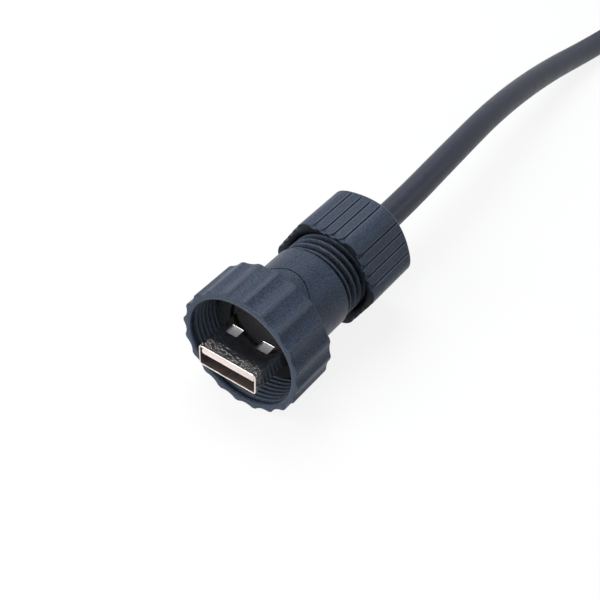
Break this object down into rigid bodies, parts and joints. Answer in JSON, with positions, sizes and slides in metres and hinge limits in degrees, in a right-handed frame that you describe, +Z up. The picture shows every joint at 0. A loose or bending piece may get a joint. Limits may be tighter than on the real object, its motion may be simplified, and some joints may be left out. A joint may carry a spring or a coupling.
{
  "type": "waterproof usb connector",
  "caption": "Round waterproof cable connector with a USB plug inside a fluted coupling ring, a grooved gland nut and its cord with a second plug.",
  "frame": {"origin": "centre of the coupling ring's front rim, on the connector's axis", "axes": "+Y runs along the axis from the plug to the cord, +X runs across the flat plug and +Z is up, on the plug's side with the tongue and its latch holes in view"},
  "size_m": [0.0523, 0.2864, 0.0246],
  "materials": {
    "black_nylon": "fine grain",
    "seal_rubber": "matt",
    "washer_nylon": "satin",
    "plug_shell": "bright nickel",
    "tongue_plastic": "satin",
    "gold_contact": "bright",
    "red_insulation": "satin",
    "white_insulation": "satin",
    "green_insulation": "satin",
    "black_insulation": "satin",
    "ferrule_brass": "crimped",
    "cord_jacket": "satin",
    "tie_plastic": "satin",
    "grip_plastic": "fine grain"
  },
  "bodies": {
    "root": {"black_wire": "black_insulation", "carrier_seal": "seal_rubber", "connector_body": "black_nylon", "cord": "cord_jacket", "cord_hank": "cord_jacket", "cord_tail": "cord_jacket", "crimp_ferrule": "ferrule_brass", "face_gasket": "seal_rubber", "far_plug_contact_1": "gold_contact", "far_plug_contact_2": "gold_contact", "far_plug_contact_3": "gold_contact", "far_plug_contact_4": "gold_contact", "far_plug_grip": "grip_plastic", "far_plug_shell": "plug_shell", "far_plug_tongue": "tongue_plastic", "gland_seal": "seal_rubber", "green_wire": "green_insulation", "hank_tie_left": "tie_plastic", "hank_tie_right": "tie_plastic", "plug_carrier": "black_nylon", "red_wire": "red_insulation", "usb_contact_1": "gold_contact", "usb_contact_2": "gold_contact", "usb_contact_3": "gold_contact", "usb_contact_4": "gold_contact", "usb_shell": "plug_shell", "usb_tongue": "tongue_plastic", "white_wire": "white_insulation"},
    "ring": {"coupling_ring": "black_nylon"},
    "washer": {"slip_washer": "washer_nylon"},
    "nut": {"gland_nut": "black_nylon"}
  },
  "joints": [
    {"name": "ring_spin", "type": "hinge", "parent": "root", "child": "ring", "pos_m": [0, 0.005, 0], "axis": [0, 1, 0], "continuous": true},
    {"name": "nut_travel", "type": "slide", "parent": "root", "child": "washer", "axis": [0, 1, 0], "range_m": [0, 0.0048]},
    {"name": "nut_turn", "type": "hinge", "parent": "washer", "child": "nut", "pos_m": [0, 0.03, 0], "axis": [0, 1, 0], "range_deg": [0, 1080]}
  ],
  "couplings": [
    {"joint": "nut_travel", "follows": "nut_turn", "m_per_rad": 0.00025465}
  ]
}
